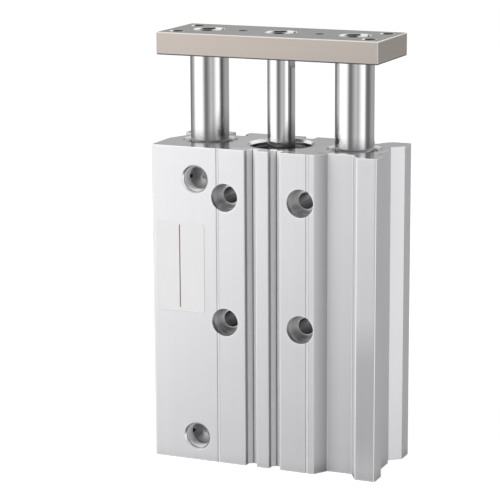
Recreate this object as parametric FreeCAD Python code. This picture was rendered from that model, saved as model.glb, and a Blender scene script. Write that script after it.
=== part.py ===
import FreeCAD, Part
import math
import os

V = FreeCAD.Vector

# Fits and clearances
running_gap = 0.04
seat_gap = 0.02
piston_gap = 0.3
stop_gap = 0.3

# Bores and rods, which set the size of the block
bore_r = 10.0
piston_rod_r = 4.8
guide_rod_r = 6.75
bush_wall = 1.75
bush_r = guide_rod_r + bush_wall
wiper_seat_step = 0.5
wiper_seat_r = bush_r + wiper_seat_step
seat_step = 1.0
seat_r = bore_r + seat_step
seat_chamfer = 1.0

# Mounting holes through the block, one on each side between the bores
mount_r = 2.9
mount_head_r = 4.9
mount_head_depth = 6.0
mount_bore_wall = 1.1
mount_guide_wall = 1.6
mount_pitch_z = 44.0
mount_lead = 0.3
mount_x = bore_r + mount_bore_wall + mount_r
guide_x = mount_x + mount_r + mount_guide_wall + bush_r

# Block around the bores
face_wall = 6.5
end_wall = 5.5
body_depth = 2 * (seat_r + face_wall)
body_width = 2 * (guide_x + wiper_seat_r + end_wall)
body_corner_r = 0.7
end_x = body_width / 2
front_y = -body_depth / 2
back_y = body_depth / 2

# Retaining rings of the central bore
snap_thickness = 1.1
snap_step = 0.7
snap_groove_r = seat_r + snap_step
snap_width = 1.5
snap_lug_r = 1.5
snap_lug_hole_r = 0.6
snap_opening = 50.0

# Rear cover, stacked up from the rear end
rear_recess = 1.6
rear_cover_length = 4.5
rear_bumper_thickness = 1.0
rear_cover_z = rear_recess + snap_thickness
rear_step_z = rear_cover_z + rear_cover_length
rear_bumper_top_z = rear_step_z + rear_bumper_thickness
bumper_r = 7.6

# Travel, and the piston that makes it, its bands stacked up from its lower end
stroke = 75.0
extension_shown = 22.8
wear_offset = 1.6
wear_width = 2.6
wear_depth = 0.9
seal_land = 1.8
seal_offset = wear_offset + wear_width + seal_land
seal_width = 2.8
seal_depth = 2.2
magnet_land = 1.8
magnet_offset = seal_offset + seal_width + magnet_land
magnet_width = 2.8
magnet_end = 1.8
magnet_depth = 2.6
piston_length = magnet_offset + magnet_width + magnet_end
piston_r = bore_r - piston_gap
piston_z = rear_bumper_top_z + stop_gap + extension_shown
piston_top_z = piston_z + piston_length
piston_edge = 0.6
spigot_r = 3.0
nut_flats = 9.0
nut_height = 3.4
nut_recess_r = 5.6
nut_recess_depth = 3.8

# Collar at the rod end, stacked down from the front end
collar_recess = 2.4
collar_length = 6.7
collar_nose_r = 8.6
collar_nose_length = 1.6
bumper_thickness = 1.2
front_bumper_z = rear_bumper_top_z + piston_length + stroke + 2 * stop_gap
collar_nose_z = front_bumper_z + bumper_thickness
collar_step_z = collar_nose_z + collar_nose_length
collar_top_z = collar_step_z + collar_length
body_length = collar_top_z + snap_thickness + collar_recess
rod_bush_wall = 1.0
rod_bush_length = 4.6
rod_seal_wall = 2.2
rod_seal_length = 2.4

# O-rings of the collar and rear cover
oring_r = 0.8
oring_groove_width = 2.1
oring_groove_depth = 2 * oring_r + seat_gap

# Front plate
plate_gap_retracted = 8.0
plate_end_inset = 1.0
plate_face_inset = 3.0
plate_width = body_width - 2 * plate_end_inset
plate_depth = body_depth - 2 * plate_face_inset
plate_thickness = 7.8
plate_edge = 0.3
plate_under_z = body_length + plate_gap_retracted + extension_shown
plate_top_z = plate_under_z + plate_thickness
plate_tap_r = 2.1
plate_tap_chamfer = 0.4
plate_tap_x = plate_width / 2 - 5.2
plate_tap_y = plate_depth / 2 - 5.7
plate_pin_r = 1.5
plate_pin_depth = 5.0
plate_pin_chamfer = 0.3
plate_pin_x = guide_x / 2 + 0.7

# Socket head bolts through the plate
bolt_r = 3.0
bolt_head_r = 5.0
bolt_head_height = 4.6
bolt_head_edge = 0.4
bolt_socket_flats = 5.0
bolt_socket_depth = 2.8
bolt_shank_length = 13.0
bolt_sunk = 0.5
bolt_head_gap = 0.25
bolt_recess_r = bolt_head_r + bolt_head_gap
bolt_recess_chamfer = 0.45
bolt_recess_depth = bolt_head_height + bolt_sunk

# Wrench flats of the piston rod
flat_cut = 0.55
flat_across = 2 * (piston_rod_r - flat_cut)
flat_length = 2.9
flat_runout_r = 1.9

# Guide rods, bushings and wipers
guide_tail_gap = 0.55
guide_tail_r = guide_rod_r + guide_tail_gap
guide_tail_z = 1.0
guide_tail_chamfer = 1.0
guide_tail_cover = 4.8
front_bush_length = 20.0
rear_bush_length = 16.0
rear_bush_z = guide_tail_z + stroke - extension_shown + guide_tail_cover
wiper_seat_depth = 3.7
wiper_seat_chamfer = 0.75
wiper_seat_z = body_length - wiper_seat_depth
felt_height = 1.0
holder_height = 1.0
holder_gap = 0.35
guide_snap_thickness = 0.9
guide_snap_step = 0.5
guide_snap_groove_r = wiper_seat_r + guide_snap_step
guide_snap_width = 1.1
guide_snap_lug_r = 0.95
guide_snap_lug_hole_r = 0.45

# Rows of the mounting holes
mount_drop = 6.8
mount_top_z = collar_step_z - mount_drop
mount_rows = [mount_top_z, mount_top_z - mount_pitch_z]

# Tapped holes in the rear end
rear_tap_x = mount_x - 0.5
rear_tap_y = back_y - 5.0
rear_tap_r = 2.1
rear_tap_depth = 12.0
rear_tap_chamfer = 0.4

# Ports
port_r = 4.4
port_chamfer = 0.6
port_tip = 1.0
port_floor_wall = 2.8
port_x = 2.0 - guide_x
port_z = [collar_step_z - 1.1, rear_step_z + 1.4]
port_depth = back_y - bush_r - port_floor_wall
side_port_wall = 1.8
side_port_y = front_y + port_r + side_port_wall
side_port_depth = end_wall + 1.0
side_port_chamfer = 0.5
passage_r = 1.15
passage_rise = [0.0, 1.4]
passage_y = front_y + port_depth - passage_r
passage_mouth_x = -0.9 * bore_r
passage_mouth_y = -0.4 * bore_r
plug_length = 5.0
plug_sunk = 0.6
plug_socket_flats = 5.0
plug_socket_depth = 3.2

# Grooves of the extruded outline
line_x = mount_x + 2.6
line_width = 0.9
line_depth = 0.45
switch_x = 4.4
switch_mouth = 4.1
switch_depth = 3.7
switch_round = 1.15
switch_nick_width = 0.5
switch_nick_depth = 0.45
switch_nick_offset = -0.55
switch_edge = 0.3
recess_wall = 3.8
recess_x = guide_x - 0.3
recess_half_mouth = 7.6
recess_half_floor = 4.5
recess_depth = back_y - bush_r - recess_wall
recess_round = 0.5
back_recess_near_x = guide_x + 1.0
back_recess_far_x = guide_x + 6.8
back_recess_taper_near = 0.6
back_recess_taper_far = 3.0
back_recess_far_round = 4.5
slot_x = guide_x - 5.0
slot_mouth = 5.4
slot_inner = 8.4
slot_lip = 4.2
slot_nut_height = 2.8
slot_edge = 0.3
channel_half_mouth = back_y - 6.7
channel_floor_x = end_x - 4.3
channel_floor_y = channel_half_mouth - 3.4
channel_swell_x = end_x - 2.9
channel_swell_y = channel_half_mouth - 6.6
channel_edge = 0.4
left_flat_y = side_port_y + port_r + 4.3

# Label on the front
label_end_gap = 1.8
label_width = 18.0
label_height = 31.7
label_top_gap = 26.7
label_left = -end_x + label_end_gap
label_low = body_length - label_top_gap - label_height
label_thickness = 0.15
label_corner_r = 1.0


def save(name, shape):
    shape.exportStep("parts/" + name + ".step")


def rounded_wire(corners):
    """Closed wire in the XY plane; each corner is x, y and its rounding radius."""
    count = len(corners)
    starts = []
    middles = []
    ends = []
    for i in range(count):
        x, y, r = corners[i]
        here = V(x, y, 0)
        before = V(corners[i - 1][0], corners[i - 1][1], 0) - here
        after = V(corners[(i + 1) % count][0], corners[(i + 1) % count][1], 0) - here
        before.normalize()
        after.normalize()
        half = before.getAngle(after) / 2
        reach = r / math.tan(half)
        toward = before + after
        if r > 0:
            toward.normalize()
        starts.append(here + before * reach)
        ends.append(here + after * reach)
        middles.append(here + toward * (r / math.sin(half) - r))
    edges = []
    for i in range(count):
        if corners[i][2] > 0:
            edges.append(Part.Arc(starts[i], middles[i], ends[i]).toShape())
        following = starts[(i + 1) % count]
        edges.append(Part.LineSegment(ends[i], following).toShape())
    return Part.Wire(edges)


def turned(profile, x=0.0, y=0.0):
    """Solid of revolution about a vertical axis; profile is radius and height."""
    points = [V(r, 0, z) for r, z in profile]
    face = Part.Face(Part.makePolygon(points + [points[0]]))
    solid = face.revolve(V(0, 0, 0), V(0, 0, 1), 360)
    solid.translate(V(x, y, 0))
    return solid


def ring(inner, outer, low, high, edge=0.0, x=0.0):
    """Plain ring with bevelled outer edges."""
    profile = [(inner, low), (outer - edge, low), (outer, low + edge)]
    profile += [(outer, high - edge), (outer - edge, high), (inner, high)]
    if edge == 0:
        profile = [(inner, low), (outer, low), (outer, high), (inner, high)]
    return turned(profile, x)


def hexagon(flats, low, high):
    corner = flats / math.sqrt(3)
    points = []
    for i in range(7):
        angle = math.radians(60 * i + 30)
        points.append(V(corner * math.cos(angle), corner * math.sin(angle), low))
    return Part.Face(Part.makePolygon(points)).extrude(V(0, 0, high - low))


def mirrored(corners):
    """The same corners on the other side of the middle plane, in reverse order."""
    return [(-x, y, r) for x, y, r in reversed(corners)]


def line_groove(x):
    half = line_width / 2
    return [(x - half, front_y, 0), (x, front_y + line_depth, 0), (x + half, front_y, 0)]


def switch_groove(x, face_y, inward):
    """Round-bottomed groove for a position switch, walked towards +X."""
    left = x - switch_mouth / 2
    right = x + switch_mouth / 2
    floor = face_y + inward * switch_depth
    nick = x + switch_nick_offset
    half = switch_nick_width / 2
    return [
        (left, face_y, switch_edge),
        (left, floor, switch_round),
        (nick - half, floor, 0),
        (nick, floor + inward * switch_nick_depth, 0),
        (nick + half, floor, 0),
        (right, floor, switch_round / 2),
        (right, face_y, switch_edge),
    ]


def front_recess():
    floor = front_y + recess_depth
    return [
        (recess_x - recess_half_mouth, front_y, recess_round / 2),
        (recess_x - recess_half_floor, floor, recess_round),
        (recess_x + recess_half_floor, floor, recess_round),
        (recess_x + recess_half_mouth, front_y, recess_round),
    ]


def back_right():
    """Back of the block from its right corner to the middle, walked towards -X."""
    floor = back_y - recess_depth
    lip = back_y - slot_lip
    deep = lip - slot_nut_height
    switch = list(reversed(switch_groove(switch_x, back_y, -1)))
    return [
        (end_x, back_y, body_corner_r),
        (back_recess_far_x, back_y, back_recess_far_round),
        (back_recess_far_x - back_recess_taper_far, floor, recess_round),
        (back_recess_near_x + back_recess_taper_near, floor, recess_round),
        (back_recess_near_x, back_y, slot_edge),
        (slot_x + slot_mouth / 2, back_y, slot_edge),
        (slot_x + slot_mouth / 2, lip, 0),
        (slot_x + slot_inner / 2, lip, slot_edge),
        (slot_x + slot_inner / 2, deep, slot_edge),
        (slot_x - slot_inner / 2, deep, slot_edge),
        (slot_x - slot_inner / 2, lip, slot_edge),
        (slot_x - slot_mouth / 2, lip, 0),
        (slot_x - slot_mouth / 2, back_y, slot_edge),
    ] + switch


def body_outline():
    corners = [(-end_x, front_y, body_corner_r)]
    corners += line_groove(-line_x)
    corners += switch_groove(-switch_x, front_y, 1)
    corners += switch_groove(switch_x, front_y, 1)
    corners += line_groove(line_x)
    corners += front_recess()
    corners += [
        (end_x, front_y, body_corner_r),
        (end_x, -channel_half_mouth, channel_edge),
        (channel_floor_x, -channel_floor_y, 0.6),
        (channel_swell_x, -channel_swell_y, 1.5),
        (channel_swell_x, channel_swell_y, 1.5),
        (channel_floor_x, channel_floor_y, 0.6),
        (end_x, channel_half_mouth, channel_edge),
    ]
    corners += back_right()
    corners += mirrored(back_right())
    corners += [
        (-end_x, channel_half_mouth, channel_edge),
        (-channel_floor_x, channel_floor_y, 0.6),
        (-channel_swell_x, channel_swell_y, 1.0),
        (-end_x, left_flat_y, channel_edge),
    ]
    return rounded_wire(corners)


def central_bore():
    groove_top = body_length - collar_recess
    return turned([
        (0, -1),
        (seat_r + seat_chamfer + 1, -1),
        (seat_r, seat_chamfer),
        (seat_r, rear_recess),
        (snap_groove_r, rear_recess),
        (snap_groove_r, rear_cover_z),
        (seat_r, rear_cover_z),
        (seat_r, rear_step_z),
        (bore_r, rear_step_z),
        (bore_r, collar_step_z),
        (seat_r, collar_step_z),
        (seat_r, collar_top_z),
        (snap_groove_r, collar_top_z),
        (snap_groove_r, groove_top),
        (seat_r, groove_top),
        (seat_r, body_length - seat_chamfer),
        (seat_r + seat_chamfer + 1, body_length + 1),
        (0, body_length + 1),
    ])


def guide_bore(x):
    snap_low = wiper_seat_z + felt_height + holder_height
    snap_high = snap_low + guide_snap_thickness
    return turned([
        (0, -1),
        (guide_tail_r + guide_tail_chamfer + 1, -1),
        (guide_tail_r, guide_tail_chamfer),
        (guide_tail_r, rear_bush_z),
        (bush_r, rear_bush_z),
        (bush_r, wiper_seat_z),
        (wiper_seat_r, wiper_seat_z),
        (wiper_seat_r, snap_low),
        (guide_snap_groove_r, snap_low),
        (guide_snap_groove_r, snap_high),
        (wiper_seat_r, snap_high),
        (wiper_seat_r, body_length - wiper_seat_chamfer),
        (wiper_seat_r + wiper_seat_chamfer + 1, body_length + 1),
        (0, body_length + 1),
    ], x)


def mounting_hole(x, z):
    through = Part.makeCylinder(mount_r, body_depth + 2, V(x, front_y - 1, z), V(0, 1, 0))
    head = Part.makeCylinder(mount_head_r, mount_head_depth + 1, V(x, front_y - 1, z), V(0, 1, 0))
    flare = mount_lead + 1
    lead = Part.makeCone(mount_r, mount_r + flare, flare, V(x, back_y - mount_lead, z), V(0, 1, 0))
    return through.fuse([head, lead])


def tapped_blind(radius, depth, chamfer):
    """Blind hole opening downwards at height zero, with a drilled tip."""
    return turned([
        (0, -1),
        (radius + chamfer + 1, -1),
        (radius, chamfer),
        (radius, depth),
        (0, depth + radius * 0.6),
    ])


def port_cutter(depth, tip, chamfer):
    """Port hole opening downwards at height zero."""
    return turned([
        (0, -1),
        (port_r + chamfer + 1, -1),
        (port_r, chamfer),
        (port_r, depth),
        (0, depth + tip),
    ])


def front_port(z):
    hole = port_cutter(port_depth, port_tip, port_chamfer)
    hole.rotate(V(0, 0, 0), V(1, 0, 0), -90)
    hole.translate(V(port_x, front_y, z))
    return hole


def side_port(z):
    hole = port_cutter(side_port_depth, port_tip, side_port_chamfer)
    hole.rotate(V(0, 0, 0), V(0, 1, 0), 90)
    hole.translate(V(-end_x, side_port_y, z))
    return hole


def passages(z, rise):
    """Air ways: side port to front port, and front port to the central bore."""
    side_end = -end_x + side_port_depth
    start = V(side_end - 1, passage_y, z)
    cross = Part.makeCylinder(passage_r * 1.2, port_x - side_end + 1, start, V(1, 0, 0))
    mouth = V(passage_mouth_x, passage_mouth_y, z + rise)
    origin = V(port_x + port_r - 1, passage_y, z + rise)
    way = mouth - origin
    inner = Part.makeCylinder(passage_r, way.Length + 1, origin, way)
    return [cross, inner]


def make_body():
    block = Part.Face(body_outline()).extrude(V(0, 0, body_length))
    cutters = [central_bore(), guide_bore(-guide_x), guide_bore(guide_x)]
    for x in (-mount_x, mount_x):
        for z in mount_rows:
            cutters.append(mounting_hole(x, z))
    for x in (-rear_tap_x, rear_tap_x):
        for y in (-rear_tap_y, rear_tap_y):
            hole = tapped_blind(rear_tap_r, rear_tap_depth, rear_tap_chamfer)
            hole.translate(V(x, y, 0))
            cutters.append(hole)
    for z, rise in zip(port_z, passage_rise):
        cutters.append(front_port(z))
        cutters.append(side_port(z))
        cutters += passages(z, rise)
    for cutter in cutters:
        block = block.cut(cutter)
    return block


def snap_ring(groove_r, width, thickness, lug_r, hole_r, low, x=0.0):
    """Internal retaining ring: open ring with two eyed lugs."""
    outer = groove_r - seat_gap
    inner = outer - width
    blank = Part.makeCylinder(outer, thickness).cut(Part.makeCylinder(inner, thickness))
    reach = groove_r * 2
    half = math.radians(snap_opening / 2)
    tip_left = V(-reach * math.sin(half), reach * math.cos(half), 0)
    tip_right = V(reach * math.sin(half), reach * math.cos(half), 0)
    wedge = Part.Face(Part.makePolygon([V(0, 0, 0), tip_right, tip_left, V(0, 0, 0)]))
    shape = blank.cut(wedge.extrude(V(0, 0, thickness)))
    for side in (-1, 1):
        middle = outer - lug_r - width * 0.2
        centre = V(side * middle * math.sin(half), middle * math.cos(half), 0)
        shape = shape.fuse(Part.makeCylinder(lug_r, thickness, centre))
        shape = shape.cut(Part.makeCylinder(hole_r, thickness, centre))
    shape = shape.removeSplitter()
    shape.translate(V(x, 0, low))
    return shape


def groove_ring(radius, depth, low, width):
    """Cutter for a rectangular groove around a shaft of the given radius."""
    return ring(radius - depth, radius + 1, low, low + width)


def make_collar():
    rod_hole = piston_rod_r + 0.4
    bush_seat = piston_rod_r + rod_bush_wall
    seal_seat = piston_rod_r + rod_seal_wall
    bush_top = collar_nose_z + rod_bush_length
    seal_low = bush_top + 0.4
    seal_top = seal_low + rod_seal_length
    outer = seat_r - seat_gap
    shape = turned([
        (bush_seat, collar_nose_z),
        (collar_nose_r, collar_nose_z),
        (collar_nose_r, collar_step_z),
        (outer, collar_step_z),
        (outer, collar_top_z - 0.3),
        (outer - 0.3, collar_top_z),
        (rod_hole + 0.5, collar_top_z),
        (rod_hole, collar_top_z - 0.5),
        (rod_hole, seal_top),
        (seal_seat, seal_top),
        (seal_seat, seal_low),
        (rod_hole, seal_low),
        (rod_hole, bush_top),
        (bush_seat, bush_top),
    ])
    middle = collar_step_z + collar_length / 2
    low = middle - oring_groove_width / 2
    return shape.cut(groove_ring(outer, oring_groove_depth, low, oring_groove_width))


def make_rod_bushing():
    inner = piston_rod_r + running_gap
    outer = piston_rod_r + rod_bush_wall - seat_gap
    return ring(inner, outer, collar_nose_z, collar_nose_z + rod_bush_length)


def make_rod_seal():
    inner = piston_rod_r + running_gap
    outer = piston_rod_r + rod_seal_wall - seat_gap
    low = collar_nose_z + rod_bush_length + 0.4
    high = low + rod_seal_length
    middle = (inner + outer) / 2
    return turned([
        (inner, low),
        (middle - 0.35, low),
        (middle, low + 1.0),
        (middle + 0.35, low),
        (outer, low),
        (outer, high),
        (inner + 0.5, high),
        (inner + 0.5, low + 1.0),
        (inner, low + 0.7),
    ])


def make_o_ring(middle_z):
    """Round cord in eight faces."""
    major = seat_r - seat_gap - oring_r
    reach = oring_r / math.cos(math.radians(22.5))
    profile = []
    for i in range(8):
        angle = math.radians(45 * i + 22.5)
        profile.append((major + reach * math.cos(angle), middle_z + reach * math.sin(angle)))
    return turned(profile)


def make_front_bumper():
    return ring(piston_rod_r + 0.4, bumper_r, front_bumper_z, collar_nose_z, 0.3)


def make_rear_bumper():
    return ring(3.6, bumper_r, rear_step_z, rear_bumper_top_z, 0.3)


def make_rear_cover():
    outer = seat_r - seat_gap
    shape = turned([
        (0, rear_cover_z + 1.0),
        (6.0, rear_cover_z + 1.0),
        (6.6, rear_cover_z),
        (outer - 0.3, rear_cover_z),
        (outer, rear_cover_z + 0.3),
        (outer, rear_step_z),
        (0, rear_step_z),
    ])
    middle = rear_cover_z + rear_cover_length / 2
    low = middle - oring_groove_width / 2
    return shape.cut(groove_ring(outer, oring_groove_depth, low, oring_groove_width))


def make_piston():
    shape = turned([
        (spigot_r, piston_z + nut_recess_depth),
        (nut_recess_r, piston_z + nut_recess_depth),
        (nut_recess_r, piston_z),
        (piston_r - piston_edge, piston_z),
        (piston_r, piston_z + piston_edge),
        (piston_r, piston_top_z - piston_edge),
        (piston_r - piston_edge, piston_top_z),
        (spigot_r, piston_top_z),
    ])
    bands = [
        (wear_offset, wear_width, wear_depth),
        (seal_offset, seal_width, seal_depth),
        (magnet_offset, magnet_width, magnet_depth),
    ]
    for offset, width, depth in bands:
        shape = shape.cut(groove_ring(piston_r, depth, piston_z + offset, width))
    return shape


def make_wear_ring():
    low = piston_z + wear_offset
    return ring(piston_r - wear_depth, bore_r - running_gap, low, low + wear_width, 0.2)


def make_piston_seal():
    low = piston_z + seal_offset
    high = low + seal_width
    inner = piston_r - seal_depth
    outer = bore_r - running_gap
    middle = (low + high) / 2
    return turned([
        (inner, low),
        (piston_r - 0.5, low),
        (outer, low + 0.5),
        (outer, low + 0.9),
        (piston_r - 0.4, middle),
        (outer, high - 0.9),
        (outer, high - 0.5),
        (piston_r - 0.5, high),
        (inner, high),
    ])


def make_magnet():
    low = piston_z + magnet_offset
    return ring(piston_r - magnet_depth, piston_r - 0.1, low, low + magnet_width)


def make_piston_nut():
    high = piston_z + nut_recess_depth
    low = high - nut_height
    blank = hexagon(nut_flats, low, high)
    corner = nut_flats / math.sqrt(3)
    dome = turned([
        (0, low),
        (corner - 0.5, low),
        (corner + 0.1, low + 0.6),
        (corner + 0.1, high),
        (0, high),
    ])
    return blank.common(dome).cut(Part.makeCylinder(spigot_r, nut_height, V(0, 0, low)))


def bolt_hole_profile(radius):
    """Threaded hole in a rod's end under the plate, as radius and height."""
    depth = bolt_shank_length - (plate_thickness - bolt_recess_depth) + 1.0
    low = plate_under_z - depth
    return low, radius


def make_piston_rod():
    nut_low = piston_z + nut_recess_depth - nut_height
    hole_low, hole_r = bolt_hole_profile(bolt_r)
    shape = turned([
        (0, nut_low - 0.2),
        (spigot_r - 0.2, nut_low - 0.2),
        (spigot_r, nut_low),
        (spigot_r, piston_top_z),
        (piston_rod_r, piston_top_z),
        (piston_rod_r, plate_under_z),
        (hole_r, plate_under_z),
        (hole_r, hole_low),
        (0, hole_low - hole_r * 0.6),
    ])
    flat_low = plate_under_z - flat_length
    for side in (-1, 1):
        slab = Part.makeBox(4, 12, flat_length + 1, V(0, -6, flat_low))
        slab.translate(V(flat_across / 2 if side > 0 else -flat_across / 2 - 4, 0, 0))
        centre = V(side * (flat_across / 2 + flat_runout_r), -6, flat_low)
        runout = Part.makeCylinder(flat_runout_r, 12, centre, V(0, 1, 0))
        shape = shape.cut(slab.fuse(runout))
    return shape


def make_guide_rod(x):
    hole_low, hole_r = bolt_hole_profile(bolt_r)
    return turned([
        (0, guide_tail_z),
        (guide_rod_r - 1.0, guide_tail_z),
        (guide_rod_r, guide_tail_z + 1.0),
        (guide_rod_r, plate_under_z - 0.3),
        (guide_rod_r - 0.3, plate_under_z),
        (hole_r, plate_under_z),
        (hole_r, hole_low),
        (0, hole_low - hole_r * 0.6),
    ], x)


def make_bolt(x):
    top = plate_top_z - bolt_sunk
    under = top - bolt_head_height
    shank = bolt_r - seat_gap
    shape = turned([
        (0, under - bolt_shank_length),
        (shank - 0.5, under - bolt_shank_length),
        (shank, under - bolt_shank_length + 0.5),
        (shank, under),
        (bolt_head_r, under),
        (bolt_head_r, top - bolt_head_edge),
        (bolt_head_r - bolt_head_edge, top),
        (0, top),
    ])
    shape = shape.cut(hexagon(bolt_socket_flats, top - bolt_socket_depth, top + 1))
    shape.translate(V(x, 0, 0))
    return shape


def plate_bolt_hole(x):
    floor = plate_top_z - bolt_recess_depth
    return turned([
        (0, plate_under_z - 1),
        (bolt_r + 0.2, plate_under_z - 1),
        (bolt_r + 0.2, floor),
        (bolt_recess_r, floor),
        (bolt_recess_r, plate_top_z - bolt_recess_chamfer),
        (bolt_recess_r + bolt_recess_chamfer + 1, plate_top_z + 1),
        (0, plate_top_z + 1),
    ], x)


def plate_tap(x, y):
    flare = plate_tap_r + plate_tap_chamfer + 1
    return turned([
        (0, plate_under_z - 1),
        (flare, plate_under_z - 1),
        (plate_tap_r, plate_under_z + plate_tap_chamfer),
        (plate_tap_r, plate_top_z - plate_tap_chamfer),
        (flare, plate_top_z + 1),
        (0, plate_top_z + 1),
    ], x, y)


def plate_pin(x):
    floor = plate_top_z - plate_pin_depth
    return turned([
        (0, floor - 0.6),
        (plate_pin_r, floor),
        (plate_pin_r, plate_top_z - plate_pin_chamfer),
        (plate_pin_r + plate_pin_chamfer + 1, plate_top_z + 1),
        (0, plate_top_z + 1),
    ], x)


def make_plate():
    low = V(-plate_width / 2, -plate_depth / 2, plate_under_z)
    plate = Part.makeBox(plate_width, plate_depth, plate_thickness, low)
    plate = plate.makeChamfer(plate_edge, plate.Edges)
    for x in (-guide_x, 0.0, guide_x):
        plate = plate.cut(plate_bolt_hole(x))
    for x in (-plate_tap_x, plate_tap_x):
        for y in (-plate_tap_y, plate_tap_y):
            plate = plate.cut(plate_tap(x, y))
    for x in (-plate_pin_x, plate_pin_x):
        plate = plate.cut(plate_pin(x))
    return plate


def make_plug(z):
    """Hexagon socket plug for a side port; its outer face looks along -X."""
    radius = port_r - seat_gap
    shape = turned([
        (0, plug_sunk),
        (radius - 0.3, plug_sunk),
        (radius, plug_sunk + 0.3),
        (radius, plug_sunk + plug_length - 0.5),
        (radius - 0.5, plug_sunk + plug_length),
        (0, plug_sunk + plug_length),
    ])
    shape = shape.cut(hexagon(plug_socket_flats, plug_sunk - 1, plug_sunk + plug_socket_depth))
    shape.rotate(V(0, 0, 0), V(0, 1, 0), 90)
    shape.translate(V(-end_x, side_port_y, z))
    return shape


def make_label():
    right = label_left + label_width
    high = label_low + label_height
    outline = rounded_wire([
        (label_left, label_low, label_corner_r),
        (right, label_low, label_corner_r),
        (right, high, label_corner_r),
        (label_left, high, label_corner_r),
    ])
    outline.rotate(V(0, 0, 0), V(1, 0, 0), 90)
    outline.translate(V(0, front_y, 0))
    return Part.Face(outline).extrude(V(0, -label_thickness, 0))


def make_guide_set(side, x):
    """Bushings, felt, holder and retaining ring of one guide bore."""
    inner = guide_rod_r + running_gap
    bush_outer = bush_r - seat_gap
    wiper_outer = wiper_seat_r - seat_gap
    front_low = wiper_seat_z - front_bush_length
    save(side + "_front_bushing", ring(inner, bush_outer, front_low, wiper_seat_z, 0.3, x))
    rear_high = rear_bush_z + rear_bush_length
    save(side + "_rear_bushing", ring(inner, bush_outer, rear_bush_z, rear_high, 0.3, x))
    felt_top = wiper_seat_z + felt_height
    save(side + "_felt_wiper", ring(inner, wiper_outer, wiper_seat_z, felt_top, 0.0, x))
    holder_top = felt_top + holder_height
    holder_inner = guide_rod_r + holder_gap
    save(side + "_wiper_holder", ring(holder_inner, wiper_outer, felt_top, holder_top, 0.0, x))
    clip = snap_ring(guide_snap_groove_r, guide_snap_width, guide_snap_thickness,
                     guide_snap_lug_r, guide_snap_lug_hole_r, holder_top, x)
    save(side + "_guide_snap_ring", clip)


save("cylinder_body", make_body())
save("name_label", make_label())
save("collar", make_collar())
save("collar_o_ring", make_o_ring(collar_step_z + collar_length / 2))
save("collar_snap_ring", snap_ring(snap_groove_r, snap_width, snap_thickness,
                                   snap_lug_r, snap_lug_hole_r, collar_top_z))
save("rod_bushing", make_rod_bushing())
save("rod_seal", make_rod_seal())
save("front_bumper", make_front_bumper())
save("rear_cover", make_rear_cover())
save("rear_cover_o_ring", make_o_ring(rear_cover_z + rear_cover_length / 2))
save("rear_snap_ring", snap_ring(snap_groove_r, snap_width, snap_thickness,
                                 snap_lug_r, snap_lug_hole_r, rear_recess))
save("rear_bumper", make_rear_bumper())
for side, x in (("left", -guide_x), ("right", guide_x)):
    make_guide_set(side, x)
    save(side + "_guide_rod", make_guide_rod(x))
    save(side + "_guide_rod_bolt", make_bolt(x))
for level, z in zip(("upper", "lower"), port_z):
    save(level + "_side_plug", make_plug(z))
save("end_plate", make_plate())
save("piston_rod", make_piston_rod())
save("piston_rod_bolt", make_bolt(0.0))
save("piston", make_piston())
save("piston_wear_ring", make_wear_ring())
save("piston_seal", make_piston_seal())
save("piston_magnet", make_magnet())
save("piston_nut", make_piston_nut())
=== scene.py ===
import math

import bpy
from mathutils import Matrix, Vector


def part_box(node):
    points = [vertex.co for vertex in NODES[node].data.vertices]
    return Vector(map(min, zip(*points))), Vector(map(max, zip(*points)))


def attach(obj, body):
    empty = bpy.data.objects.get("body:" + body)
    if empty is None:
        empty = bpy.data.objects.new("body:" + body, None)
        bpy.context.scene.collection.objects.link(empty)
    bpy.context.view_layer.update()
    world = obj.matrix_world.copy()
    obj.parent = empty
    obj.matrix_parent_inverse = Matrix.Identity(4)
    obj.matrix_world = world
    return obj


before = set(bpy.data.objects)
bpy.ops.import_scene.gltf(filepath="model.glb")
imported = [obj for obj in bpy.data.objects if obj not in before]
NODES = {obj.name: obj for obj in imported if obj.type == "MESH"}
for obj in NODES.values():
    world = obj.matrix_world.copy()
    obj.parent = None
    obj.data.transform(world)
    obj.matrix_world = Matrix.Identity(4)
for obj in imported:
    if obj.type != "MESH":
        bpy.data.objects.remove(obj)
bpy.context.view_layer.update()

# Everything is in metres, with the block's rear end on the floor and the rods pointing up.
MM = 0.001
CYLINDER = "cylinder"
MOVING = "plate_assembly"


def middle_x(node):
    low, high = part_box(node)
    return (low.x + high.x) / 2


# Where the block is machined; its front face is at y = -17.5 mm and its upper end at z = 112 mm.
GUIDE_X = middle_x("right_guide_rod")
BORE_RADIUS, GUIDE_BORE_RADIUS = 11.9 * MM, 9.6 * MM
PORT_X, PORT_RADIUS = 2 * MM - GUIDE_X, 4.95 * MM
PORT_ROWS = (100.7 * MM, 8.6 * MM)
BOLT_HOLE_X, BOLT_HEAD_RADIUS, BOLT_SHANK_RADIUS = 14 * MM, 5.0 * MM, 3.3 * MM
BOLT_HOLE_ROWS = (95 * MM, 51 * MM)
# Points in front of SKIN_Y are on the front skin; ports and bolt heads are cut no deeper than CUT_Y.
SKIN_Y = -16.9 * MM
CUT_Y = -9 * MM
# The two V lines, and the outer rib with its two long front edges.
V_LINE_X = 16.6 * MM
RIB_LEFT_X = 34.2 * MM
RIB_EDGES_X = (34.3 * MM, 41.12 * MM)
# The end plate's corner taps lie this far in from its sides.
TAP_INSET_X, TAP_INSET_Y = 5.2 * MM, 5.7 * MM


# Building blocks for materials


def plug_in(tree, slot, value):
    """Gives a socket a plain value, a colour or the output of another node."""
    if isinstance(value, bpy.types.NodeSocket):
        tree.links.new(value, slot)
    elif slot.type == "RGBA" and len(value) == 3:
        slot.default_value = (*value, 1.0)
    else:
        slot.default_value = value


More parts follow.
